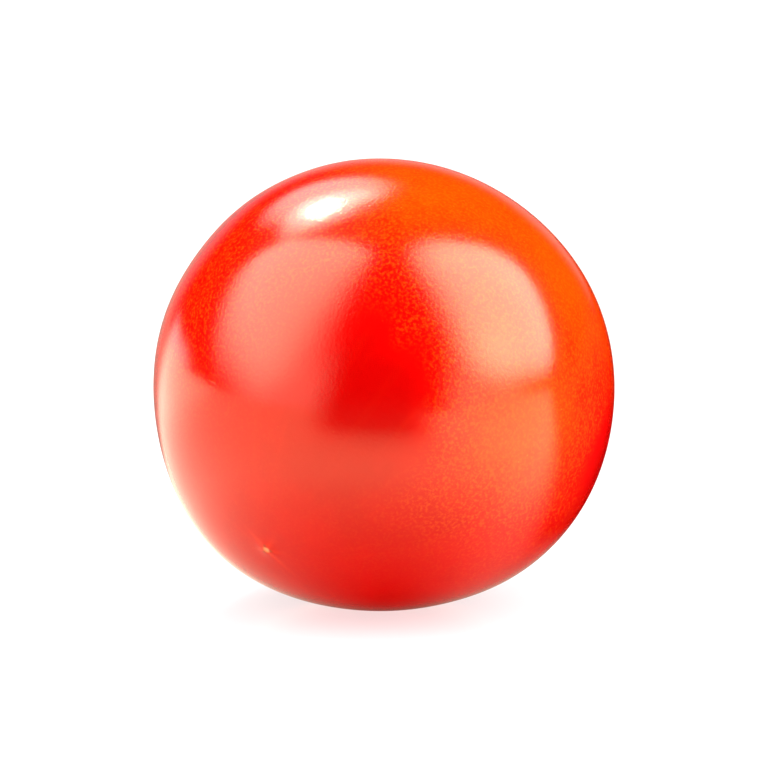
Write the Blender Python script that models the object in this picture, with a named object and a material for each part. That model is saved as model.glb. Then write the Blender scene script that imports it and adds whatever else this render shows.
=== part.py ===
"""A small round ripe tomato, picked, lying on a small flat spot.

Metres, +Z up. The origin is on the ground, under the middle of the fruit. The fruit grew in one
piece and was picked without its stalk and its green leaves, so it is one solid. It is shaped in
its own frame, with the stalk end up, and the object's rotation and location then lay it down.
"""

import math

import bmesh
import bpy
import numpy as np
from mathutils import Matrix, Vector

# The body, in the fruit's own frame: +Z runs from the blossom end to the stalk end
WIDTH = 0.0352  # across the middle
LENGTH = 0.0352  # from the blossom end to the top of the shoulders
SQUARENESS = 2.04  # exponent of the side view's superellipse; 2 would be a plain ellipse
LOBES = 3  # one faint lobe over each seed chamber
LOBE_RELIEF = 0.00010

# Where the body isn't round: the way each place faces as the fruit lies, how far the skin stands
# out there, and how far that spreads, as an angle at the fruit's centre
LEFT_SWELL_FACES = (-0.743, -0.128, -0.657)
LEFT_SWELL_HEIGHT = 0.00052
RIGHT_SWELL_FACES = (0.819, -0.109, -0.563)
RIGHT_SWELL_HEIGHT = 0.00048
SWELL_SPREAD = math.radians(25)
UPPER_SIDE_FACES = (0.259, 0.184, 0.948)
UPPER_SIDE_PRESSED = 0.00030
UPPER_SIDE_SPREAD = math.radians(50)
UNDERSIDE_PRESSED = 0.00045
UNDERSIDE_SPREAD = math.radians(24)

# The stalk end: a shallow dimple with the round scar where the stalk broke off
DIMPLE_RADIUS = 0.0042
DIMPLE_DEPTH = 0.00105
STALK_SCAR_RADIUS = 0.0017
STALK_SCAR_DEPTH = 0.00022
SHOULDER_FOLDS = 5  # shallow pleats that run out of the dimple
SHOULDER_FOLD_RELIEF = 0.00007

# The blossom end: the little point that the flower left
BLOSSOM_POINT_RADIUS = 0.0008
BLOSSOM_POINT_HEIGHT = 0.00014

# How the fruit lies: the stalk end's angle from straight up, its compass heading from +X towards
# +Y, and the turn about its own axis that places the lobes
STALK_LEAN = math.radians(53.8)
STALK_HEADING = math.radians(51.5)
LOBE_TURN = math.radians(20)
REST_SPOT_DEPTH = 0.00016  # how much of the skin the flat resting spot takes away

# The mesh: columns round the axis, rings between the ends, and how much closer together the rings
# are at the two ends than at the middle (0 for even rings, under 1)
COLUMNS = 64
RINGS = 40
RING_CROWDING = 0.5


def plateau(distance, radius, sharpness=2):
    """1 at the centre, falling to 1/e at the radius; a higher sharpness flattens the top."""
    return np.exp(-((distance / radius) ** sharpness))


def side_radius(polar):
    """The side view: distance from the centre, by the angle from the stalk end."""
    across = np.abs(np.sin(polar)) / (WIDTH / 2)
    along = np.abs(np.cos(polar)) / (LENGTH / 2)
    return (across**SQUARENESS + along**SQUARENESS) ** (-1 / SQUARENESS)


def shape_fruit(sphere, swells):
    """Move the points of a unit sphere onto the fruit's skin.

    swells is a list of (direction, height, spread), in the fruit's own frame.
    """
    even_polar = np.arccos(np.clip(sphere[:, 2], -1, 1))
    polar = even_polar - RING_CROWDING * np.sin(2 * even_polar) / 2
    around = np.arctan2(sphere[:, 1], sphere[:, 0])
    out = np.column_stack(
        (np.sin(polar) * np.cos(around), np.sin(polar) * np.sin(around), np.cos(polar))
    )

    radius = side_radius(polar)
    radius += LOBE_RELIEF * np.cos(LOBES * around) * np.sin(polar) ** 2
    for direction, height, spread in swells:
        angle = np.arccos(np.clip(out @ direction, -1, 1))
        radius += height * plateau(angle, spread)
    skin = out * radius[:, None]

    off_axis = np.hypot(skin[:, 0], skin[:, 1])
    dimple = DIMPLE_DEPTH * plateau(off_axis, DIMPLE_RADIUS)
    dimple += STALK_SCAR_DEPTH * plateau(off_axis, STALK_SCAR_RADIUS, 6)
    fold_reach = plateau(off_axis - DIMPLE_RADIUS, DIMPLE_RADIUS / 2)
    dimple += SHOULDER_FOLD_RELIEF * np.cos(SHOULDER_FOLDS * around) * fold_reach
    point = BLOSSOM_POINT_HEIGHT * plateau(off_axis, BLOSSOM_POINT_RADIUS)
    skin[:, 2] -= np.where(out[:, 2] > 0, dimple, point)
    return skin


def lying_rotation():
    """Turn the upright fruit about its own axis, then lean it, then head it."""
    lean = Matrix.Rotation(STALK_LEAN, 3, "Y")
    heading = Matrix.Rotation(STALK_HEADING, 3, "Z")
    return heading @ lean @ Matrix.Rotation(LOBE_TURN, 3, "Z")


def skin_material():
    """Ripe red skin with a waxy gloss."""
    material = bpy.data.materials.new("ripe_skin")
    material.use_nodes = True
    material.diffuse_color = (0.72, 0.012, 0.006, 1)
    shader = material.node_tree.nodes["Principled BSDF"]
    shader.inputs["Base Color"].default_value = (0.72, 0.012, 0.006, 1)
    shader.inputs["Roughness"].default_value = 0.25
    shader.inputs["Metallic"].default_value = 0
    return material


def mesh_object(name, bm, collection):
    """Put a bmesh into a new object in the collection, and free the bmesh."""
    mesh = bpy.data.meshes.new(name)
    bm.to_mesh(mesh)
    bm.free()
    item = bpy.data.objects.new(name, mesh)
    collection.objects.link(item)
    return item


def make_tomato(collection):
    """The fruit, laid down, with its lowest point just under the ground."""
    rotation = lying_rotation()
    to_fruit = rotation.inverted()
    swells = [
        (np.array(to_fruit @ Vector(faces).normalized()), height, spread)
        for faces, height, spread in (
            (LEFT_SWELL_FACES, LEFT_SWELL_HEIGHT, SWELL_SPREAD),
            (RIGHT_SWELL_FACES, RIGHT_SWELL_HEIGHT, SWELL_SPREAD),
            (UPPER_SIDE_FACES, -UPPER_SIDE_PRESSED, UPPER_SIDE_SPREAD),
            ((0, 0, -1), -UNDERSIDE_PRESSED, UNDERSIDE_SPREAD),
        )
    ]

    bm = bmesh.new()
    bmesh.ops.create_uvsphere(bm, u_segments=COLUMNS, v_segments=RINGS, radius=1)
    tomato = mesh_object("tomato", bm, collection)
    mesh = tomato.data
    points = np.empty(3 * len(mesh.vertices))
    mesh.vertices.foreach_get("co", points)
    skin = shape_fruit(points.reshape(-1, 3), swells)
    mesh.vertices.foreach_set("co", skin.ravel())
    mesh.shade_smooth()
    mesh.set_sharp_from_angle(angle=math.radians(30))
    mesh.materials.append(skin_material())

    lying = skin @ np.array(rotation).T
    low, high = lying.min(axis=0), lying.max(axis=0)
    middle = (low + high) / 2
    tomato.rotation_euler = rotation.to_euler()
    tomato.location = (-middle[0], -middle[1], -low[2] - REST_SPOT_DEPTH)
    return tomato


def cut_rest_spot(tomato, collection):
    """Take the skin off below the ground, which leaves the flat spot that the fruit lies on."""
    bm = bmesh.new()
    bmesh.ops.create_cube(bm, size=2 * WIDTH)
    ground = mesh_object("ground_cutter", bm, collection)
    ground.location = (0, 0, -WIDTH)
    ground.hide_render = True
    ground.display_type = "WIRE"

    cut = tomato.modifiers.new("rest_spot", "BOOLEAN")
    cut.operation = "DIFFERENCE"
    cut.solver = "EXACT"
    cut.object = ground


def new_collection(name):
    """A collection of the scene's own."""
    collection = bpy.data.collections.new(name)
    bpy.context.scene.collection.children.link(collection)
    return collection


def main():
    """Clear the scene and build the fruit."""
    for item in list(bpy.data.objects):
        bpy.data.objects.remove(item, do_unlink=True)
    tomato = make_tomato(new_collection("round_tomato"))
    cut_rest_spot(tomato, new_collection("cutters"))


main()
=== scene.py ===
"""A small round ripe tomato, picked, lying on a white table between two large soft lamps.

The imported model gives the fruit's place and size. This script gives it its fine skin: one closed
surface, worked out on a grid of rings and columns in the fruit's own frame (stalk end up), laid
down the way the fruit lies, with the scar of the stalk at one end and of the blossom at the other.
"""

import logging
import math
from dataclasses import dataclass, field
from enum import Enum

import bpy
import numpy as np
from mathutils import Matrix, Vector


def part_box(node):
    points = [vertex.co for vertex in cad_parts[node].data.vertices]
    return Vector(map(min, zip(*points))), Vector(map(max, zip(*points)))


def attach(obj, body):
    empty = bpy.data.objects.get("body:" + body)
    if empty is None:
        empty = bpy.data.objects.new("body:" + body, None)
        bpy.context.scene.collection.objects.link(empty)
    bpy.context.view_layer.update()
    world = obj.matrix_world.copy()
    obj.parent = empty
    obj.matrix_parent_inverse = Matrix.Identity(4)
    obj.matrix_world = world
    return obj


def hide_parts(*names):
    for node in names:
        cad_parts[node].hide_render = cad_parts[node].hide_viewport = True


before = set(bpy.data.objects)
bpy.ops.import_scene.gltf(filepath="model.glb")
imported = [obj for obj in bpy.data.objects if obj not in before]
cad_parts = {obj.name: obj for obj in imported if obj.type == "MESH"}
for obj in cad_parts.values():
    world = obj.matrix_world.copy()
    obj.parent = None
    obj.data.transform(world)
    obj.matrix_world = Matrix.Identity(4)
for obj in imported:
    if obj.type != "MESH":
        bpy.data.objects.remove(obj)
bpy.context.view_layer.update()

log = logging.getLogger("tomato")

MILLIMETRE = 0.001

Colour = tuple[float, float, float]
Heading = tuple[float, float, float]  # the way that something faces, of any length
Span = tuple[float, float]  # a range, or where a smooth step is 0 and where it is 1


class Top(Enum):
    """How flat the top of a bell is, as the power in its formula."""

    ROUND = 2.0
    FLAT = 4.0
    FLATTER = 6.0


class Stored(Enum):
    """What the mesh stores at its points for the skin's finish to read, and under which name."""

    CORK = "cork"
    CRACK = "crack"
    HALO = "halo"
    DOT = "dot"
    SPECK = "speck"
    RAY = "ray"
    UNRIPE = "unripe"
    GROWN_PLACE = "grown_place"
    GROWN_LINE = "grown_line"


Shares = dict[Stored, np.ndarray]


# Shapes as arrays


def plateau(distance: np.ndarray, radius: float, top: Top = Top.ROUND) -> np.ndarray:
    """A bell round zero: e to the minus (distance over radius) to the power that top gives.

    Args:
        distance: How far each point is from the middle.
        radius: Where the bell has fallen to 1/e.
        top: How flat the bell is on top.

    Returns:
        The bell's height at each point, from 0 to 1.
    """
    return np.exp(-((np.abs(distance) / radius) ** top.value))


def soft_step(value: np.ndarray, low: float, high: float) -> np.ndarray:
    """0 below low and 1 above high, with the cubic 3t^2 - 2t^3 between them."""
    share = np.clip((value - low) / (high - low), 0, 1)
    return share * share * (3 - 2 * share)


def angle_apart(first: np.ndarray, second: float) -> np.ndarray:
    """The difference of two compass angles, brought into -pi to pi."""
    return (first - second + math.pi) % (2 * math.pi) - math.pi


def put_in_scene(name: str, data: bpy.types.ID) -> bpy.types.Object:
    """Make an object and link it to the scene.

    Args:
        name: Its name.
        data: Its mesh, lamp or camera.

    Returns:
        The object.
    """
    item = bpy.data.objects.new(name, data)
    bpy.context.scene.collection.objects.link(item)
    return item


# The fruit


@dataclass(frozen=True)
class Ripples:
    """A smooth field that looks random: many plane sine waves with seeded headings, added up.

    Their lengths are the wavelength times a chance number from the spread.
    """

    wavelength: float
    seed: int
    height: float
    waves: int = 28
    spread: Span = (0.7, 1.5)

    def at(self, points: np.ndarray) -> np.ndarray:
        """The field at some points.

        Args:
            points: An array whose last axis is x, y, z, in metres.

        Returns:
            The field there, about as much as the height at most crests.
        """
        source = np.random.default_rng(self.seed)
        headings = source.normal(size=(3, self.waves))
        headings /= np.linalg.norm(headings, axis=0)
        pitch = 2 * math.pi / (self.wavelength * source.uniform(*self.spread, self.waves))
        phase = source.uniform(0, 2 * math.pi, self.waves)
        crests = np.sin(points @ (headings * pitch) + phase)
        return self.height * (crests.sum(axis=-1) / math.sqrt(self.waves))


@dataclass(frozen=True)
class Swell:
    """A place where the body isn't round: which way it faces as the fruit lies, how far the skin
    stands out there, and how far that spreads, as an angle at the fruit's centre."""

    faces: Heading
    height: float
    spread: float


@dataclass(frozen=True)
class Patch:
    """A place that ripened late: which way it faces as the fruit lies, how orange it stayed (less
    than 0 where it ripened early), and how far that spreads, as an angle at the fruit's centre."""

    faces: Heading
    strength: float
    spread: float


@dataclass(frozen=True)
class StalkEnd:
    """The shallow dimple, and in it the corky scar where the stalk broke off.

    Sizes are in metres and turns in radians. Shares are of the scar's radius, unless said.
    """

    dimple_radius: float = 0.0042
    dimple_depth: float = 0.00105
    folds: int = 5
    fold_relief: float = 0.00007

    # The scar, its wavering edge and the lip round it
    scar_radius: float = 0.0017
    scar_depth: float = 0.00022
    oval: float = 0.06
    oval_turn: float = 0.4
    corners: int = 5
    corner_share: float = 0.03
    corner_turn: float = 2.0
    ragged: Ripples = Ripples(1.1 * MILLIMETRE, seed=21, height=0.06)
    cork_edge: Span = (0.74, 1.08)
    cork_grain: Ripples = Ripples(0.34 * MILLIMETRE, seed=5, height=0.00003)
    lip_share: float = 1.12
    lip_height: float = 0.00009
    lip_width: float = 0.00030
    stub_radius: float = 0.00046
    stub_height: float = 0.00012

    # Cracks in the cork, and the moat round the stub, whose shares are of the stub's radius
    cracks: int = 8
    crack_seed: int = 21
    crack_width: float = 0.00006
    crack_depth: float = 0.00008
    crack_swerve: float = 0.32  # share of the angle between two cracks
    crack_start: Span = (0.24, 0.45)
    crack_run: Span = (0.35, 1.0)  # share of what is left of the scar's radius
    crack_widths: Span = (0.5, 1.3)  # shares of the crack's width
    crooked: Ripples = Ripples(0.9 * MILLIMETRE, seed=22, height=0.30)
    farthest_aside: float = 1.5  # just under a right angle, so a crack runs out to one side only
    moat_share: float = 1.2
    moat_width: float = 0.2
    moat_strength: float = 0.45
    moat_turn: float = 1.0

    # The paler star where the leaves sat
    sepals: int = 5
    sepal_reach: float = 0.0036
    star_turn: float = 2.5
    star_bend: float = 0.5
    star_base: float = 1.25
    star_edge: Span = (0.35, 1.5)  # shares of the star's own radius

    def shape(
        self, off_axis: np.ndarray, around: np.ndarray, skin: np.ndarray
    ) -> tuple[np.ndarray, Shares]:
        """How deep the skin lies there, and where each finish goes.

        The depth adds a bell for the dimple, a flat-floored bell for the scar's edge (whose radius
        wavers with the angle), less a raised lip round it and a stub in the middle, plus a few
        crooked cracks and the ripple of dry cork.

        Args:
            off_axis: Each point's distance from the fruit's axis.
            around: Its angle round the axis.
            skin: The points themselves, in the fruit's own frame.

        Returns:
            The depth, and the shares of cork, crack and halo.
        """
        waver = 1 + self.oval * np.sin(2 * around + self.oval_turn)
        waver += self.corner_share * np.sin(self.corners * around + self.corner_turn)
        waver += self.ragged.at(skin)
        reach = off_axis / waver
        inner, outer = self.cork_edge
        cork = 1 - soft_step(reach, inner * self.scar_radius, outer * self.scar_radius)

        depth = self.dimple_depth * plateau(off_axis, self.dimple_radius)
        depth += self.scar_depth * plateau(reach, self.scar_radius, Top.FLATTER)
        pleats = np.cos(self.folds * around)
        pleats *= plateau(off_axis - self.dimple_radius, self.dimple_radius / 2)
        depth += self.fold_relief * pleats
        depth -= self.lip_height * plateau(reach - self.lip_share * self.scar_radius, self.lip_width)
        depth -= self.stub_height * plateau(reach, self.stub_radius, Top.FLAT)

        crack = self.crack_lines(off_axis, around, skin)
        depth += self.crack_depth * crack
        depth += self.cork_grain.at(skin) * cork
        halo = self.star(reach, around)
        return depth, {Stored.CORK: cork, Stored.CRACK: crack, Stored.HALO: halo}

    def star(self, reach: np.ndarray, around: np.ndarray) -> np.ndarray:
        """The skin that the leaves hid: a soft disc whose radius swells to a point for each leaf.

        The radius grows with the square of half of 1 plus the cosine of (leaves times angle), which
        is bent a little so that the points are uneven.

        Args:
            reach: Each point's distance from the axis, over the waver of the scar's edge.
            around: Its angle round the axis.

        Returns:
            How pale each point is, 0 to 1.
        """
        bent = self.sepals * around - self.star_turn + self.star_bend * np.sin(2 * around)
        leaf = (0.5 + 0.5 * np.cos(bent)) ** 2
        radius = self.scar_radius * self.star_base + (self.sepal_reach - self.scar_radius) * leaf
        inner, outer = self.star_edge
        return 1 - soft_step(reach, inner * radius, outer * radius)

    def crack_lines(self, off_axis: np.ndarray, around: np.ndarray, skin: np.ndarray) -> np.ndarray:
        """Short crooked lines that run out from round the stub, each a bell across its own course.

        Args:
            off_axis: Each point's distance from the fruit's axis.
            around: Its angle round the axis.
            skin: The points themselves, in the fruit's own frame.

        Returns:
            How cracked the cork is at each point, 0 to 1.
        """
        source = np.random.default_rng(self.crack_seed)
        crooked = self.crooked.at(skin)
        crack = np.zeros_like(off_axis)
        for number in range(self.cracks):
            swerve = source.uniform(-self.crack_swerve, self.crack_swerve)
            heading = (number + swerve) * 2 * math.pi / self.cracks
            start = source.uniform(*self.crack_start) * self.scar_radius
            length = source.uniform(*self.crack_run) * (self.scar_radius - start)
            width = source.uniform(*self.crack_widths) * self.crack_width
            aside = angle_apart(around, heading) + crooked
            aside = np.clip(aside, -self.farthest_aside, self.farthest_aside)
            along = plateau(off_axis - start - length / 2, length / 2, Top.FLATTER)
            crack = np.maximum(crack, plateau(off_axis * np.sin(aside), width) * along)
        moat = plateau(off_axis - self.moat_share * self.stub_radius, self.moat_width * self.stub_radius)
        moat *= 0.5 + 0.5 * np.sin(around + self.moat_turn)
        return np.maximum(crack, self.moat_strength * moat)


@dataclass(frozen=True)
class BlossomRay:
    """One faint line that runs out of the blossom scar: its angle round the axis and length."""

    heading: float
    length: float


@dataclass(frozen=True)
class BlossomEnd:
    """The little point that the flower left, with its pale dot, dark specks and faint star."""

    point_radius: float = 0.0008
    point_height: float = 0.00014
    dot_radius: float = 0.00027
    dot_depth: float = 0.00005
    speck_radius: float = 0.00013
    speck_ring: float = 0.00040
    speck_headings: tuple[float, ...] = (0.5, 2.9, 4.6)
    ray_width: float = 0.00022
    ray_depth: float = 0.000012
    rays: tuple[BlossomRay, ...] = (
        BlossomRay(math.radians(133), 0.0016),
        BlossomRay(math.radians(204), 0.0013),
        BlossomRay(math.radians(318), 0.0022),
        BlossomRay(math.radians(62), 0.0010),
        BlossomRay(math.radians(262), 0.0011),
    )

    def shape(self, skin: np.ndarray) -> tuple[np.ndarray, Shares]:
        """How far the skin stands out there, and where each finish goes.

        The height is a bell for the point, less a smaller bell for the dot's pit and a shallow
        groove along each ray. A ray's strength is a bell across it and falls off along it.

        Args:
            skin: Points in the fruit's own frame.

        Returns:
            The height, and the shares of dot, speck and ray.
        """
        across, along = skin[..., 0], skin[..., 1]
        off_axis = np.hypot(across, along)
        dot = plateau(off_axis, self.dot_radius, Top.FLAT)
        speck = np.zeros_like(off_axis)
        for heading in self.speck_headings:
            sideways = across - self.speck_ring * math.cos(heading)
            lengthways = along - self.speck_ring * math.sin(heading)
            apart = np.hypot(sideways, lengthways)
            speck = np.maximum(speck, plateau(apart, self.speck_radius))
        ray = np.zeros_like(off_axis)
        for each in self.rays:
            outward = across * math.cos(each.heading) + along * math.sin(each.heading)
            sideways = along * math.cos(each.heading) - across * math.sin(each.heading)
            strength = plateau(sideways, self.ray_width) * plateau(outward, each.length)
            ray = np.maximum(ray, np.where(outward > 0, strength, 0))
        height = self.point_height * plateau(off_axis, self.point_radius)
        height -= self.dot_depth * dot + self.ray_depth * ray
        return height, {Stored.DOT: dot, Stored.SPECK: speck, Stored.RAY: ray}


@dataclass
class Tomato:
    """The whole fruit: its body, how it lies, where it ripened late, and its mesh.

    Sizes are in metres, in its own frame, where +Z runs from the blossom end to the stalk end.
    """

    width: float = 0.0352
    length: float = 0.0352
    squareness: float = 2.04
    lobes: int = 3
    lobe_relief: float = 0.00010
    stalk_lean: float = math.radians(53.8)
    stalk_heading: float = math.radians(51.5)
    lobe_turn: float = math.radians(20)
    rest_spot_depth: float = 0.00016
    contact_softness: float = 0.00003
    waviness: Ripples = Ripples(11 * MILLIMETRE, seed=3, height=0.000035)
    shoulder_orange: float = 0.8
    shoulder_span: Span = (0.15, 0.80)  # how much the skin faces the stalk end, from -1 to 1
    slow_drift: Ripples = Ripples(13 * MILLIMETRE, seed=11, height=0.13)
    quick_drift: Ripples = Ripples(4 * MILLIMETRE, seed=12, height=0.05)
    streak_run: float = 0.12  # how fast the streaks change lengthwise, against round the fruit
    rings: int = 262
    columns: int = 364
    ring_crowding: float = 0.8
    stalk_end: StalkEnd = field(default_factory=StalkEnd)
    blossom_end: BlossomEnd = field(default_factory=BlossomEnd)
    swells: tuple[Swell, ...] = (
        Swell((-0.743, -0.128, -0.657), 0.00052, math.radians(25)),
        Swell((0.819, -0.109, -0.563), 0.00048, math.radians(25)),
        Swell((0.259, 0.184, 0.948), -0.00030, math.radians(50)),
        Swell((0.0, 0.0, -1.0), -0.00045, math.radians(24)),
    )
    late_patches: tuple[Patch, ...] = (
        Patch((0.80, -0.20, 0.56), 0.60, math.radians(42)),
        Patch((0.62, -0.76, -0.04), 0.78, math.radians(26)),
        Patch((0.16, -0.38, 0.91), 0.55, math.radians(24)),
        Patch((0.05, -0.98, 0.20), -0.45, math.radians(19)),
        Patch((0.97, -0.20, -0.08), -0.62, math.radians(23)),
        Patch((-0.72, -0.43, 0.54), 0.22, math.radians(24)),
    )

    def rotation(self) -> np.ndarray:
        """How the fruit lies: turned about its own axis, then leant, then headed.

        Returns:
            A 3 by 3 matrix, from the fruit's own frame to the shared one.
        """
        lean = Matrix.Rotation(self.stalk_lean, 3, "Y")
        heading = Matrix.Rotation(self.stalk_heading, 3, "Z")
        return np.array(heading @ lean @ Matrix.Rotation(self.lobe_turn, 3, "Z"))

    def grid(self) -> tuple[np.ndarray, np.ndarray]:
        """The angle from the stalk end and the angle round the axis of every grid point.

        Rings are crowded towards both ends: the even angle less a share of sin(2 angle) / 2.

        Returns:
            Two arrays with a row for each ring, poles included, and a column for each meridian.
        """
        even = np.linspace(0, math.pi, self.rings + 1)
        polar = even - self.ring_crowding * np.sin(2 * even) / 2
        around = np.arange(self.columns) * 2 * math.pi / self.columns
        return np.meshgrid(polar, around, indexing="ij")

    def body(self, polar: np.ndarray, around: np.ndarray) -> tuple[np.ndarray, np.ndarray]:
        """The body without its two ends' details.

        The side view is a superellipse, |sin/a|^n + |cos/b|^n = r^-n, and the radius adds faint
        lobes that go with cos(lobes * angle) sin^2, a bell for each swell, and a slight waviness.

        Args:
            polar: Angle from the stalk end.
            around: Angle round the axis.

        Returns:
            The outward unit directions, and the points, both in the fruit's own frame.
        """
        level = np.sin(polar)
        out = np.stack((level * np.cos(around), level * np.sin(around), np.cos(polar)), axis=-1)
        across = np.abs(level) / (self.width / 2)
        along = np.abs(np.cos(polar)) / (self.length / 2)
        radius = (across**self.squareness + along**self.squareness) ** (-1 / self.squareness)
        radius += self.lobe_relief * np.cos(self.lobes * around) * level**2
        for swell in self.swells:
            radius += swell.height * plateau(self.angle_from(out, swell.faces), swell.spread)
        radius += self.waviness.at(out * self.width / 2)
        return out, out * radius[..., None]

    def angle_from(self, out: np.ndarray, faces: Heading) -> np.ndarray:
        """The angle between outward directions and one that is given as the fruit lies."""
        facing = np.array(Vector(faces).normalized()) @ self.rotation()
        return np.arccos(np.clip(out @ facing, -1, 1))

    def surface(self) -> tuple[np.ndarray, Shares]:
        """Shape the whole skin.

        Returns:
            Every grid point in the fruit's own frame, and the share of each finish there.
        """
        polar, around = self.grid()
        out, skin = self.body(polar, around)
        off_axis = np.hypot(skin[..., 0], skin[..., 1])
        on_top = out[..., 2] > 0
        depth, at_stalk = self.stalk_end.shape(off_axis, around, skin)
        height, at_blossom = self.blossom_end.shape(skin)
        shares = {kind: np.where(on_top, share, 0) for kind, share in at_stalk.items()}
        shares |= {kind: np.where(on_top, 0, share) for kind, share in at_blossom.items()}
        shares[Stored.UNRIPE] = self.unripe(out)
        skin[..., 2] -= np.where(on_top, depth, height)
        return skin, shares

    def unripe(self, out: np.ndarray) -> np.ndarray:
        """How orange the skin still is: a soft step over the shoulders and a bell for each patch.

        All are put off course by slow ripples.

        Args:
            out: Outward unit directions, in the fruit's own frame.

        Returns:
            0 where the skin is ripe, 1 where it is all orange, and less than 0 where it is dark red.
        """
        drift = self.slow_drift.at(out * self.width / 2) + self.quick_drift.at(out * self.width / 2)
        ripe = 1 - self.shoulder_orange * soft_step(out[..., 2] + drift, *self.shoulder_span)
        for patch in self.late_patches:
            apart = self.angle_from(out, patch.faces) * (1 + drift)
            ripe *= 1 - patch.strength * plateau(apart, patch.spread)
        return 1 - ripe

    def laid_down(self, skin: np.ndarray, low: Vector, high: Vector) -> np.ndarray:
        """Turn the fruit as it lies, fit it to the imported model's box and press its resting spot.

        The spot comes from the soft maximum of the height and 0: half the sum of the height and
        the root of its square plus the softness squared.

        Args:
            skin: Points in the fruit's own frame.
            low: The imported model's lowest corner.
            high: Its highest corner.

        Returns:
            The points in the shared frame.
        """
        lying = skin @ self.rotation().T
        first, last = lying.min(axis=(0, 1)), lying.max(axis=(0, 1))
        wide = (high.x - low.x + high.y - low.y) / (last[0] - first[0] + last[1] - first[1])
        tall = (high.z - low.z) / (last[2] - first[2] - self.rest_spot_depth)
        lying = (lying - (first + last) / 2) * np.array((wide, wide, tall))
        lying[..., 0] += (low.x + high.x) / 2
        lying[..., 1] += (low.y + high.y) / 2
        lying[..., 2] += high.z - lying[..., 2].max()
        above = lying[..., 2] - low.z
        lying[..., 2] = low.z + (above + np.sqrt(above**2 + self.contact_softness**2)) / 2
        return lying

    def faces(self) -> list[tuple[int, ...]]:
        """Quads between the rings and a fan of triangles at each pole, all facing outwards.

        Point 0 is the stalk pole, then come the rings one after the other, and the last point is
        the blossom pole.

        Returns:
            Each face's points, by number.
        """
        inner = self.rings - 1
        index = 1 + np.arange(inner * self.columns).reshape(inner, self.columns)
        east = np.roll(index, -1, axis=1)
        quads = np.stack((index[:-1], index[1:], east[1:], east[:-1]), axis=-1).reshape(-1, 4)
        last = inner * self.columns + 1
        top = np.column_stack((np.zeros_like(index[0]), index[0], east[0]))
        bottom = np.column_stack((np.full_like(index[-1], last), east[-1], index[-1]))
        return [tuple(row) for part in (quads, top, bottom) for row in part.tolist()]

    def without_doubled_poles(self, values: np.ndarray) -> np.ndarray:
        """Grid values as one list of points, with each pole's ring taken once."""
        flat = values[1:-1].reshape((-1,) + values.shape[2:])
        return np.concatenate((values[:1, 0], flat, values[-1:, 0]))

    def build(self, skin_finish: "TomatoSkin") -> bpy.types.Object:
        """Make the fruit's object: its mesh, its attributes and its skin.

        Args:
            skin_finish: The finish that covers it.

        Returns:
            The object, at the origin, with its place in its mesh.
        """
        low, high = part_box("tomato")
        skin, shares = self.surface()
        points = self.without_doubled_poles(self.laid_down(skin, low, high))
        mesh = bpy.data.meshes.new("ripe_tomato")
        mesh.from_pydata(points, [], self.faces())
        mesh.shade_smooth()
        for kind, share in shares.items():
            attribute = mesh.attributes.new(kind.value, "FLOAT", "POINT")
            attribute.data.foreach_set("value", self.without_doubled_poles(share).astype(np.float32))
        polar, around = self.grid()
        lines = np.stack((np.cos(around), np.sin(around), self.streak_run * polar), axis=-1)
        for kind, vectors in ((Stored.GROWN_PLACE, skin / MILLIMETRE), (Stored.GROWN_LINE, lines)):
            attribute = mesh.attributes.new(kind.value, "FLOAT_VECTOR", "POINT")
            flat = self.without_doubled_poles(vectors).astype(np.float32).ravel()
            attribute.data.foreach_set("vector", flat)
        mesh.materials.append(skin_finish.material())
        return put_in_scene("ripe_tomato", mesh)


# Materials


@dataclass(frozen=True)
class Noise:
    """Smooth noise from 0 to 1: its features are about 1/scale wide, with detail inside them."""

    scale: float
    detail: float
    roughness: float = 0.5


class Value:
    """A node's output that takes part in arithmetic: each operator adds a Math node."""

    def __init__(self, bench: "Bench", socket: bpy.types.NodeSocket) -> None:
        """Wrap a socket of the bench's node tree."""
        self.bench = bench
        self.socket = socket

    def __add__(self, other: "Value | float") -> "Value":
        """This plus other."""
        return self.bench.maths("ADD", self, other)

    def __radd__(self, other: float) -> "Value":
        """Other plus this."""
        return self.bench.maths("ADD", other, self)

    def __sub__(self, other: "Value | float") -> "Value":
        """This less other."""
        return self.bench.maths("SUBTRACT", self, other)

    def __rsub__(self, other: float) -> "Value":
        """Other less this."""
        return self.bench.maths("SUBTRACT", other, self)

    def __mul__(self, other: "Value | float") -> "Value":
        """This times other."""
        return self.bench.maths("MULTIPLY", self, other)

    def __rmul__(self, other: float) -> "Value":
        """Other times this."""
        return self.bench.maths("MULTIPLY", other, self)

    def __truediv__(self, other: "Value | float") -> "Value":
        """This over other."""
        return self.bench.maths("DIVIDE", self, other)

    def __pow__(self, power: float) -> "Value":
        """This raised to a power."""
        return self.bench.maths("POWER", self, power)

    def __abs__(self) -> "Value":
        """This without its sign."""
        return self.bench.maths("ABSOLUTE", self)

    def at_least(self, other: "Value | float") -> "Value":
        """The greater of this and other."""
        return self.bench.maths("MAXIMUM", self, other)

    def step(self, low: float, high: float) -> "Value":
        """A smooth step.

        Args:
            low: Where it is 0.
            high: Where it is 1, which may be less than low.

        Returns:
            The step's height, from 0 to 1.
        """
        start, end, first, last = (low, high, 0.0, 1.0) if low < high else (high, low, 1.0, 0.0)
        node = self.bench.node(
            "ShaderNodeMapRange",
            {"interpolation_type": "SMOOTHSTEP"},
            {"Value": self, "From Min": start, "From Max": end, "To Min": first, "To Max": last},
        )
        return Value(self.bench, node.outputs["Result"])


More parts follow.
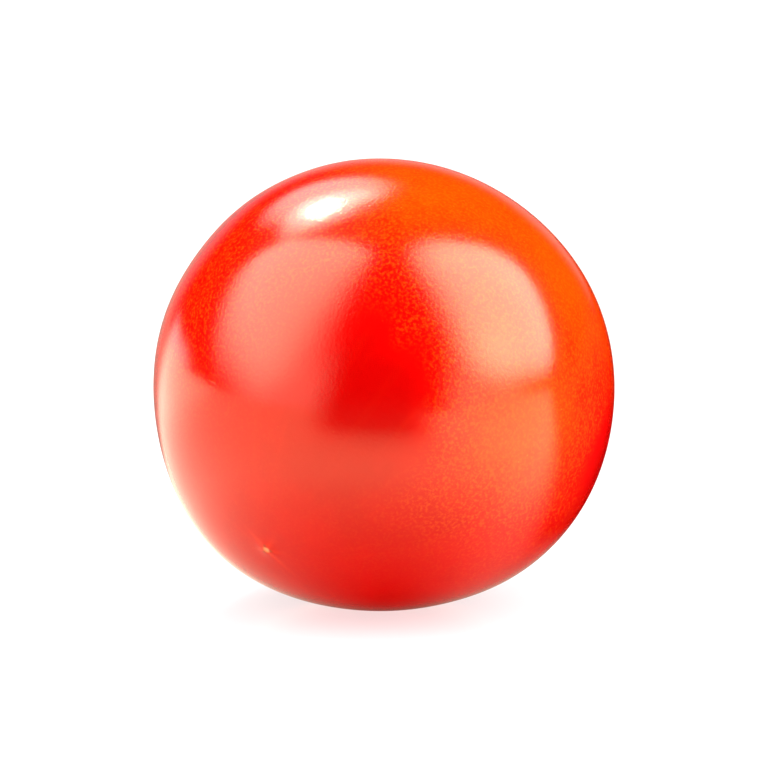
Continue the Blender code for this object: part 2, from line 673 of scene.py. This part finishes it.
class Bench:
    """A node tree and the ways to put nodes in it."""

    def __init__(self, tree: bpy.types.NodeTree) -> None:
        """Take a tree and clear it."""
        self.tree = tree
        self.tree.nodes.clear()

    def node(
        self, kind: str, settings: dict | None = None, sockets: dict | None = None
    ) -> bpy.types.Node:
        """Add a node.

        Args:
            kind: The node's type.
            settings: Its properties, set first.
            sockets: A number, colour or Value for each input, by name or index.

        Returns:
            The new node.
        """
        node = self.tree.nodes.new(kind)
        for name, setting in (settings or {}).items():
            setattr(node, name, setting)
        for name, content in (sockets or {}).items():
            if isinstance(content, Value):
                self.tree.links.new(content.socket, node.inputs[name])
            else:
                node.inputs[name].default_value = content
        return node

    def maths(self, operation: str, first: "Value | float", second: "Value | float" = 0.0) -> Value:
        """A Math node on two values."""
        node = self.node("ShaderNodeMath", {"operation": operation}, {0: first, 1: second})
        return Value(self, node.outputs[0])

    def mix(self, share: "Value | float", first: "Value | Colour", second: "Value | Colour") -> Value:
        """Pass over from one colour to another.

        Args:
            share: 0 for the first colour, 1 for the second.
            first: The first colour.
            second: The second colour.

        Returns:
            The colour that comes out.
        """
        first, second = (c if isinstance(c, Value) else (*c, 1.0) for c in (first, second))
        node = self.node("ShaderNodeMix", {"data_type": "RGBA"}, {0: share, 6: first, 7: second})
        return Value(self, node.outputs[2])

    def blend(self, share: Value, first: bpy.types.Node, second: bpy.types.Node) -> bpy.types.Node:
        """The first shader where share is 0 and the second where it is 1."""
        shaders = {1: Value(self, first.outputs[0]), 2: Value(self, second.outputs[0])}
        return self.node("ShaderNodeMixShader", None, {0: share, **shaders})

    def output(self, kind: str, shader: bpy.types.Node) -> None:
        """Send a shader to an output node of that kind."""
        self.node(kind, None, {"Surface": Value(self, shader.outputs[0])})

    def share(self, kind: Stored) -> Value:
        """A number that the mesh stores at its points."""
        node = self.node("ShaderNodeAttribute", {"attribute_name": kind.value})
        return Value(self, node.outputs["Fac"])

    def place(self, kind: Stored) -> Value:
        """A vector that the mesh stores at its points."""
        node = self.node("ShaderNodeAttribute", {"attribute_name": kind.value})
        return Value(self, node.outputs["Vector"])

    def noise(self, vector: Value, kind: Noise) -> Value:
        """Smooth noise.

        Args:
            vector: The place.
            kind: Its scale and detail.

        Returns:
            Its height there, from 0 to 1.
        """
        sockets = {"Vector": vector, "Scale": kind.scale, "Detail": kind.detail}
        node = self.node("ShaderNodeTexNoise", None, {**sockets, "Roughness": kind.roughness})
        return Value(self, node.outputs[0])

    def cells(self, vector: Value, scale: float) -> tuple[Value, Value]:
        """Scattered points.

        Args:
            vector: The place.
            scale: How many there are along a unit of length.

        Returns:
            The distance to the nearest point in cell widths, and a chance value of its own.
        """
        node = self.node("ShaderNodeTexVoronoi", None, {"Vector": vector, "Scale": scale})
        chance = self.node("ShaderNodeSeparateXYZ", None, {0: Value(self, node.outputs["Color"])})
        return Value(self, node.outputs["Distance"]), Value(self, chance.outputs[0])

    def axes(self, vector: Value) -> tuple[Value, Value, Value]:
        """A vector's x, y and z."""
        parts = self.node("ShaderNodeSeparateXYZ", None, {0: vector}).outputs
        return Value(self, parts[0]), Value(self, parts[1]), Value(self, parts[2])

    def relief(self, height: Value, depth: float, below: Value | None = None) -> Value:
        """A bump.

        Args:
            height: Its height, about 0 to 1.
            depth: How deep that is, in metres.
            below: An earlier bump that it lies on, if there is one.

        Returns:
            The bent normal.
        """
        sockets = {"Height": height, "Distance": depth, "Strength": 1.0}
        if below is not None:
            sockets["Normal"] = below
        return Value(self, self.node("ShaderNodeBump", None, sockets).outputs[0])


@dataclass(frozen=True)
class SkinGround:
    """What the parts of the skin's finish share: the bench, the place, and some values there."""

    bench: Bench
    place: Value
    grain: Value
    blotch: Value
    cork: Value


@dataclass(frozen=True)
class TomatoSkin:
    """Waxy red skin: orange where it ripened late, with fine grain, gold flecks and dry scars.

    Places along the skin are in millimetres in the fruit's own frame, heights of relief in metres.
    """

    # From red to orange: mottles of deeper red, an uneven passage, and a stipple of orange dots
    ripe: Colour = (0.56, 0.0004, 0.0003)
    deep: Colour = (0.475, 0.0003, 0.0003)
    orange: Colour = (0.72, 0.042, 0.0001)
    mottle: Noise = Noise(0.16, 3.0, 0.55)
    mottle_edge: Span = (0.62, 0.38)
    mottle_share: float = 0.5
    early_span: Span = (0.0, -0.22)
    blotch: Noise = Noise(0.55, 3.0, 0.6)
    uneven_by_grain: float = 0.55
    uneven_by_mottle: float = 0.35
    uneven_by_blotch: float = 0.45
    uneven_when_ripe: float = 0.35
    orange_span: Span = (0.05, 1.02)
    stipple: Colour = (0.74, 0.085, 0.0008)
    stipple_share: float = 0.40
    stipple_edge: Span = (0.42, 0.74)
    stipple_span: Span = (-0.06, 0.22)

    # Lengthwise streaks, and flecks that thicken towards the stalk
    streak: Colour = (0.78, 0.022, 0.0008)
    streak_lines: Noise = Noise(9.0, 3.0, 0.6)
    streak_edge: Span = (0.50, 0.82)
    streak_share: float = 0.12
    fleck: Colour = (0.85, 0.15, 0.012)
    flecks_in_a_millimetre: float = 1.5
    fleck_ragged: float = 0.10
    fleck_edge: Span = (0.14, 0.05)
    fleck_chance: Span = (0.35, 0.95)
    fleck_span: Span = (0.05, 0.85)
    fleck_least: float = 0.05
    fleck_more: float = 0.45

    # The two scars
    star: Colour = (0.74, 0.135, 0.006)
    star_share: float = 0.35
    star_by_blotch: float = 0.5
    cork: Colour = (0.16, 0.085, 0.030)
    cork_pale: Colour = (0.36, 0.235, 0.10)
    cork_patches: Noise = Noise(2.6, 4.0, 0.65)
    cork_patch_edge: Span = (0.35, 0.68)
    crack: Colour = (0.05, 0.024, 0.011)
    crack_share: float = 0.9
    ray_share: float = 0.45
    dot: Colour = (0.85, 0.27, 0.085)
    dot_share: float = 0.9
    speck: Colour = (0.26, 0.035, 0.006)
    speck_share: float = 0.8

    # Gloss: the skin, its wax coat, and the light that passes through the flesh
    roughness: float = 0.15
    bloom: Noise = Noise(0.5, 3.0, 0.6)
    bloom_roughness: float = 0.06
    cork_roughness: float = 0.82
    skin_ior: float = 1.45
    sheen: Colour = (1.0, 0.90, 0.50)
    coat: float = 0.20
    coat_roughness: float = 0.12
    coat_ior: float = 1.5
    flesh_glow: float = 0.12
    flesh_reach: float = 0.0022
    flesh_reach_by_colour: Colour = (1.0, 0.16, 0.08)

    # Relief
    grain: Noise = Noise(1 / 0.24, 1.5, 0.6)
    grain_height: float = 0.000013
    peel: Noise = Noise(0.9, 1.0)
    peel_height: float = 0.000006
    crust: Noise = Noise(9.0, 4.0, 0.7)
    crust_height: float = 0.00005

    def material(self) -> bpy.types.Material:
        """Build the finish: colour, roughness, wax coat and fine relief on one Principled shader.

        Returns:
            The material.
        """
        material = bpy.data.materials.new("tomato_skin")
        material.use_nodes = True
        bench = Bench(material.node_tree)
        place = bench.place(Stored.GROWN_PLACE)
        cork = bench.share(Stored.CORK)
        grain, blotch = bench.noise(place, self.grain), bench.noise(place, self.blotch)
        ground = SkinGround(bench, place, grain, blotch, cork)
        colour = self.scars(ground, self.streaks_and_flecks(ground, self.ripening(ground)))
        shader = bench.node(
            "ShaderNodeBsdfPrincipled",
            {"subsurface_method": "RANDOM_WALK"},
            {
                "Base Color": colour,
                "Roughness": self.gloss(ground),
                "Metallic": 0.0,
                "IOR": self.skin_ior,
                "Specular Tint": (*self.sheen, 1.0),
                "Subsurface Weight": self.flesh_glow,
                "Subsurface Radius": self.flesh_reach_by_colour,
                "Subsurface Scale": self.flesh_reach,
                "Coat Weight": self.coat * (1 - cork),
                "Coat Roughness": self.coat_roughness,
                "Coat IOR": self.coat_ior,
                "Normal": self.texture(ground),
            },
        )
        bench.output("ShaderNodeOutputMaterial", shader)
        return material

    def ripening(self, ground: SkinGround) -> Value:
        """Red that passes over unevenly to orange, where the first orange is a stipple of dots.

        Args:
            ground: The skin's bench and values.

        Returns:
            The colour.
        """
        bench, grain, blotch = ground.bench, ground.grain, ground.blotch
        mottle = bench.noise(ground.place, self.mottle)
        late = bench.share(Stored.UNRIPE)
        early = late.step(*self.early_span)
        darker = (self.mottle_share * mottle.step(*self.mottle_edge)).at_least(early)
        red = bench.mix(darker, self.ripe, self.deep)
        uneven = self.uneven_by_grain * (grain - 0.5) + self.uneven_by_mottle * (mottle - 0.5)
        uneven = uneven + self.uneven_by_blotch * (blotch - 0.5)
        unripe = late + (self.uneven_when_ripe + late) * uneven
        colour = bench.mix(unripe.step(*self.orange_span), red, self.orange)
        dots = grain.step(*self.stipple_edge) * late.step(*self.stipple_span)
        return bench.mix(self.stipple_share * dots, colour, self.stipple)

    def streaks_and_flecks(self, ground: SkinGround, colour: Value) -> Value:
        """Faint streaks from end to end, and tiny gold flecks that thicken towards the stalk.

        Args:
            ground: The skin's bench and values.
            colour: The colour so far.

        Returns:
            The colour with them on it.
        """
        bench = ground.bench
        lines = bench.noise(bench.place(Stored.GROWN_LINE), self.streak_lines)
        colour = bench.mix(self.streak_share * lines.step(*self.streak_edge), colour, self.streak)
        distance, chance = bench.cells(ground.place, self.flecks_in_a_millimetre)
        ragged = distance + self.fleck_ragged * (ground.grain - 0.5)
        near_stalk = bench.share(Stored.UNRIPE).step(*self.fleck_span)
        fleck = ragged.step(*self.fleck_edge) * chance.step(*self.fleck_chance)
        strength = self.fleck_least + self.fleck_more * near_stalk
        return bench.mix(fleck * strength, colour, self.fleck)

    def scars(self, ground: SkinGround, colour: Value) -> Value:
        """The star, cork and cracks of the stalk end; the rays, dot and specks of the blossom end.

        Args:
            ground: The skin's bench and values.
            colour: The colour so far.

        Returns:
            The colour with them on it.
        """
        bench = ground.bench
        halo = bench.share(Stored.HALO) * (self.star_share + self.star_by_blotch * ground.blotch)
        colour = bench.mix(halo, colour, self.star)
        pale = bench.noise(ground.place, self.cork_patches).step(*self.cork_patch_edge)
        colour = bench.mix(ground.cork, colour, bench.mix(pale, self.cork, self.cork_pale))
        for share, kind, finish in (
            (self.crack_share, Stored.CRACK, self.crack),
            (self.ray_share, Stored.RAY, self.streak),
            (self.dot_share, Stored.DOT, self.dot),
            (self.speck_share, Stored.SPECK, self.speck),
        ):
            colour = bench.mix(share * bench.share(kind), colour, finish)
        return colour

    def gloss(self, ground: SkinGround) -> Value:
        """The skin's own roughness, a little uneven, and that of dry cork at the stalk scar.

        Args:
            ground: The skin's bench and values.

        Returns:
            The roughness.
        """
        bloom = ground.bench.noise(ground.place, self.bloom)
        skin = self.roughness + self.bloom_roughness * (bloom - 0.5)
        return skin + (self.cork_roughness - self.roughness) * ground.cork

    def texture(self, ground: SkinGround) -> Value:
        """Fine relief: a slight orange-peel swell, skin grain everywhere, and rough dry cork.

        Args:
            ground: The skin's bench and values.

        Returns:
            The bent normal.
        """
        bench, place = ground.bench, ground.place
        normal = bench.relief(bench.noise(place, self.peel), self.peel_height)
        normal = bench.relief(ground.grain, self.grain_height, normal)
        return bench.relief(bench.noise(place, self.crust) * ground.cork, self.crust_height, normal)


# The studio


@dataclass(frozen=True)
class Flag:
    """A black flag before a lamp, with a soft slanted edge.

    On the lamp's face, where both axes run from -1 to 1, the middle of that edge is where sideways
    plus slope times upward plus offset is 0.
    """

    slope: float
    offset: float
    softness: float = 0.40


@dataclass(frozen=True)
class Lamp:
    """A rectangular soft lamp, brightest in the middle, that only the fruit and table see.

    It stands at its reach times towards, from the fruit's centre. Its width and height are shares
    of its reach too, so it looks as big when that changes.
    """

    name: str
    reach: float
    towards: Heading
    faces: Heading
    width: float
    height: float
    brightness: float
    edge: float = 0.95
    squareness: float = 2.0
    core: float = 0.0
    core_radius: float = 0.2
    flag: Flag | None = None

    def build(self, target: Vector) -> bpy.types.Object:
        """Make the lamp. Its power is its brightness times pi times its area.

        Args:
            target: The fruit's centre.

        Returns:
            The lamp.
        """
        data = bpy.data.lights.new(self.name, "AREA")
        data.shape = "RECTANGLE"
        data.size = self.width * self.reach
        data.size_y = self.height * self.reach
        data.energy = self.brightness * math.pi * data.size * data.size_y
        data.use_nodes = True
        self.spread(Bench(data.node_tree))
        lamp = put_in_scene(self.name, data)
        outward = -Vector(self.faces).normalized()
        lamp.rotation_euler = outward.to_track_quat("Z", "Y").to_euler()
        lamp.location = target + self.reach * Vector(self.towards)
        lamp.visible_camera = False
        return lamp

    def spread(self, bench: Bench) -> None:
        """Brightness over the lamp's face: it falls off towards the edges, round a bright core.

        Args:
            bench: The lamp's node tree.
        """
        face = bench.node("ShaderNodeNewGeometry")
        across, up, _ = bench.axes(Value(bench, face.outputs["Parametric"]))
        sideways, upward = 2 * across - 1, 2 * up - 1
        wide, high = sideways * sideways, upward * upward
        strength = (wide**self.squareness + high**self.squareness).step(1.0, 1.0 - self.edge)
        if self.flag:
            uncovered = sideways + self.flag.slope * upward + self.flag.offset
            strength = strength * uncovered.step(-self.flag.softness, self.flag.softness)
        if self.core:
            strength = strength + self.core * (wide + high).step(self.core_radius**2, 0.0)
        light = bench.node("ShaderNodeEmission", None, {"Strength": strength})
        bench.output("ShaderNodeOutputLight", light)


@dataclass(frozen=True)
class Table:
    """A wide white disc, flat at height 0, that passes over into an evenly lit sweep.

    Reflections on the fruit see a set pattern of painted light on it instead: bright, with a painted
    shadow where the fruit stands, a painted dark wedge towards the front, a painted dark patch at
    the right, and dimness straight behind. Places are in metres: across is x and back is y.
    """

    rings: tuple[float, ...] = (0.02, 0.05, 0.1, 0.2, 0.4, 0.8, 1.6, 4.0)
    columns: int = 96

    # As the eye and plain light see it
    white: Colour = (1.0, 1.0, 1.0)
    colour: Colour = (0.34, 0.34, 0.34)
    roughness: float = 0.22
    ior: float = 1.45
    glow: float = 1.05
    seen_glow: Colour = (0.63, 0.63, 0.63)
    sweep_glow: float = 1.35
    sweep_edge: Span = (0.16, 0.34)

    # As reflections see it
    black: Colour = (0.0, 0.0, 0.0)
    mirrored_white: Colour = (1.0, 0.96, 0.76)
    mirrored_peak: float = 3.4
    mirrored_plain: float = 2.15
    more_at_right: float = 0.95
    right_edge: Span = (0.01, 0.06)
    more_at_left_back: float = 1.1
    left_edge: Span = (-0.02, -0.08)
    left_back_edge: Span = (0.0, 0.06)
    # Painted shadow round where the fruit stands, seen only in reflections: how far before the middle
    # its centre lies, and where it fades
    fruit_shadow_ahead: float = 0.009
    fruit_shadow_edge: Span = (0.034, 0.0)
    wedge_lean: float = 0.1
    wedge_start: Span = (0.03, 0.14)
    wedge_side: Span = (0.75, 0.30)  # across over how far in front
    # Painted shade: a dark patch on the table at the right of the fruit, seen only in reflections
    painted_dark_patch_left: Span = (0.0, 0.02)
    painted_dark_patch_front: Span = (-0.014, -0.001)
    rear_dimness: float = 0.85
    rear_side: Span = (1.0, 0.6)  # across over how far behind
    rear_start: Span = (0.02, 0.05)
    least_divisor: float = 0.01

    def build(self) -> bpy.types.Object:
        """Make the disc: a fan of triangles in the middle and rings of quads round it.

        Returns:
            The table.
        """
        angles = np.arange(self.columns) * 2 * math.pi / self.columns
        circle = np.stack((np.cos(angles), np.sin(angles), np.zeros_like(angles)), axis=-1)
        reach = np.array(self.rings)[:, None, None]
        points = np.concatenate((np.zeros((1, 3)), (reach * circle).reshape(-1, 3)))
        index = 1 + np.arange(len(self.rings) * self.columns).reshape(len(self.rings), self.columns)
        east = np.roll(index, -1, axis=1)
        quads = np.stack((index[:-1], index[1:], east[1:], east[:-1]), axis=-1).reshape(-1, 4)
        middle = np.column_stack((np.zeros_like(index[0]), index[0], east[0]))
        mesh = bpy.data.meshes.new("white_table")
        mesh.from_pydata(points, [], [*map(tuple, quads.tolist()), *map(tuple, middle.tolist())])
        mesh.materials.append(self.finish())
        return put_in_scene("white_table", mesh)

    def finish(self) -> bpy.types.Material:
        """White acrylic near the fruit, sweep farther out, and the set pattern for reflections.

        Returns:
            The material.
        """
        material = bpy.data.materials.new("white_table")
        material.use_nodes = True
        bench = Bench(material.node_tree)
        coordinates = bench.node("ShaderNodeTexCoord")
        across, back, _ = bench.axes(Value(bench, coordinates.outputs["Object"]))
        ray = bench.node("ShaderNodeLightPath")
        seen = Value(bench, ray.outputs["Is Camera Ray"])
        acrylic = bench.node(
            "ShaderNodeBsdfPrincipled",
            None,
            {
                "Base Color": (*self.colour, 1.0),
                "Roughness": self.roughness,
                "IOR": self.ior,
                "Emission Color": bench.mix(seen, self.white, self.seen_glow),
                "Emission Strength": self.glow,
            },
        )
        plain = {"Color": (*self.white, 1.0), "Strength": self.sweep_glow}
        sweep = bench.node("ShaderNodeEmission", None, plain)
        far = ((across * across + back * back) ** 0.5).step(*self.sweep_edge)
        lit = bench.blend(far, acrylic, sweep)
        pattern = bench.mix(self.mirrored_share(across, back), self.black, self.mirrored_white)
        bright = {"Color": pattern, "Strength": self.mirrored_peak}
        mirrored = bench.node("ShaderNodeEmission", None, bright)
        both = bench.blend(Value(bench, ray.outputs["Is Glossy Ray"]), lit, mirrored)
        bench.output("ShaderNodeOutputMaterial", both)
        return material

    def mirrored_share(self, across: Value, back: Value) -> Value:
        """How bright the table is where the glossy skin mirrors it, as a share of its peak.

        It is brightest at the right and at the left back. Each dark place is taken away from that
        as 1 less its own strength.

        Args:
            across: The place's x.
            back: Its y.

        Returns:
            The share, from 0 to 1.
        """
        peak = self.mirrored_plain + self.more_at_right * across.step(*self.right_edge)
        left_back = across.step(*self.left_edge) * back.step(*self.left_back_edge)
        peak = peak + self.more_at_left_back * left_back

        # Painted shadow: a dark disc on the table round where the fruit stands, seen only in reflections
        behind = back + self.fruit_shadow_ahead
        fruit = ((across * across + behind * behind) ** 0.5).step(*self.fruit_shadow_edge)
        # Painted shade: a dark wedge on the table in front of the fruit, seen only in reflections
        front = -1 * back
        slant = abs(across + self.wedge_lean * front) / front.at_least(self.least_divisor)
        wedge = front.step(*self.wedge_start) * slant.step(*self.wedge_side)
        # Painted shade: a dark patch on the table at the right of the fruit
        painted_dark_patch = across.step(*self.painted_dark_patch_left) * back.step(*self.painted_dark_patch_front)
        aside = abs(across) / back.at_least(self.least_divisor)
        rear = self.rear_dimness * aside.step(*self.rear_side) * back.step(*self.rear_start)
        return peak / self.mirrored_peak * (1 - fruit) * (1 - wedge) * (1 - painted_dark_patch) * (1 - rear)


@dataclass(frozen=True)
class Room:
    """A dim room with a sweep low behind the fruit, and plain white where the camera looks.

    Reflections on the fruit also see white walls low at both sides, a strip of light low at the
    left back, and a soft halo high behind. Spans are parts of a direction of length 1.
    """

    white: Colour = (1.0, 1.0, 1.0)
    dimness: float = 0.005
    sweep_brightness: float = 0.35
    sweep_back: Span = (0.78, 0.93)
    sweep_top: Span = (0.35, 0.10)
    sweep_right_end: Span = (0.55, 0.30)
    wall_brightness: float = 2.6
    wall_reach: Span = (0.42, 0.68)
    wall_slant: float = 0.28
    wall_front: Span = (-0.05, -0.50)
    wall_top: Span = (0.75, 0.15)
    strip_brightness: float = 2.6
    strip_left: Span = (-0.55, -0.70)
    strip_back: Span = (0.35, 0.55)
    strip_top: Span = (0.10, 0.03)
    halo_brightness: float = 3.2
    halo_towards: Heading = (-0.24, 0.66, 0.71)
    halo_edge: Span = (0.945, 0.985)

    def build(self) -> None:
        """Make the world and hang it in the scene."""
        world = bpy.data.worlds.new("studio_room")
        world.use_nodes = True
        bpy.context.scene.world = world
        bench = Bench(world.node_tree)
        heading = bench.node("ShaderNodeTexCoord")
        x, y, z = bench.axes(Value(bench, heading.outputs["Generated"]))
        ray = bench.node("ShaderNodeLightPath")
        behind = y.step(*self.sweep_back) * z.step(*self.sweep_top) * x.step(*self.sweep_right_end)
        strength = self.dimness + self.sweep_brightness * behind
        strength = strength + self.mirrored(x, y, z) * Value(bench, ray.outputs["Is Glossy Ray"])
        white = (*self.white, 1.0)
        lit = bench.node("ShaderNodeBackground", None, {"Color": white, "Strength": strength})
        plain = bench.node("ShaderNodeBackground", None, {"Color": white, "Strength": 1.0})
        both = bench.blend(Value(bench, ray.outputs["Is Camera Ray"]), lit, plain)
        bench.output("ShaderNodeOutputWorld", both)

    def mirrored(self, x: Value, y: Value, z: Value) -> Value:
        """What only reflections see: the walls, the strip and the halo.

        Args:
            x: The direction's part to the right.
            y: Its part to the back.
            z: Its part upwards.

        Returns:
            The brightness there.
        """
        near, far = self.wall_reach
        left = (x - self.wall_slant * z).step(-near, -far)
        walls = (left + x.step(near, far)) * y.step(*self.wall_front) * z.step(*self.wall_top)
        strip = x.step(*self.strip_left) * y.step(*self.strip_back) * z.step(*self.strip_top)
        to_x, to_y, to_z = self.halo_towards
        halo = (to_x * x + to_y * y + to_z * z).step(*self.halo_edge)
        lit = self.wall_brightness * walls + self.strip_brightness * strip
        return lit + self.halo_brightness * halo


@dataclass(frozen=True)
class PortraitCamera:
    """A long lens that looks a little down at the fruit, which fills its share of the width."""

    elevation: float = math.radians(11)
    distance: float = 0.56
    fruit_share: float = 0.60
    clipped_before: float = 0.01
    clipped_beyond: float = 50.0

    def build(self, target: Vector, fruit_width: float) -> bpy.types.Object:
        """Make the camera and look through it.

        Args:
            target: The fruit's centre.
            fruit_width: How wide the fruit is.

        Returns:
            The camera.
        """
        data = bpy.data.cameras.new("portrait_camera")
        data.angle = 2 * math.atan(fruit_width / self.fruit_share / 2 / self.distance)
        data.clip_start = self.clipped_before
        data.clip_end = self.clipped_beyond
        camera = put_in_scene("portrait_camera", data)
        back = Vector((0, -math.cos(self.elevation), math.sin(self.elevation)))
        camera.location = target + self.distance * back
        camera.rotation_euler = back.to_track_quat("Z", "Y").to_euler()
        bpy.context.scene.camera = camera
        return camera


@dataclass(frozen=True)
class Studio:
    """A white table and sweep, two large soft lamps, and one small lamp high behind."""

    table: Table = Table()
    room: Room = Room()
    camera: PortraitCamera = PortraitCamera()
    lamps: tuple[Lamp, ...] = (
        Lamp(
            "right_soft_lamp",
            reach=0.58,
            towards=(0.738, 0.023, 0.561),
            faces=(-0.439, 0.750, -0.496),
            width=1.31,
            height=1.17,
            brightness=9.0,
        ),
        Lamp(
            "left_soft_lamp",
            reach=0.38,
            towards=(-1.449, 0.294, 1.84),
            faces=(0.606, 0.776, -0.176),
            width=3.15,
            height=3.95,
            brightness=6.6,
            flag=Flag(slope=1.066, offset=0.70),
        ),
        Lamp(
            "small_back_lamp",
            reach=0.8,
            towards=(-0.29, 0.47, 0.83),
            faces=(0.29, -0.47, -0.83),
            width=0.775,
            height=0.50,
            brightness=8.5,
            edge=1.0,
            squareness=0.8,
            core=12.0,
            core_radius=0.26,
        ),
    )

    def build(self, low: Vector, high: Vector) -> None:
        """Set up the table, room, lamps and camera round the fruit.

        Args:
            low: The fruit's lowest corner.
            high: Its highest corner.
        """
        target = (low + high) / 2
        self.table.build()
        self.room.build()
        for lamp in self.lamps:
            lamp.build(target)
            log.info("lamp %s", lamp.name)
        self.camera.build(target, high.x - low.x)
        bpy.context.scene.view_settings.view_transform = "Standard"


def main() -> None:
    """Build the studio and the fruit."""
    logging.basicConfig(level=logging.INFO, format="%(name)s: %(message)s")
    Studio().build(*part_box("tomato"))

    fruit = Tomato().build(TomatoSkin())
    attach(fruit, "root")
    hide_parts("tomato")
    log.info("piece %s: %d points", fruit.name, len(fruit.data.vertices))

    bpy.context.view_layer.update()


if __name__ == "__main__":
    main()
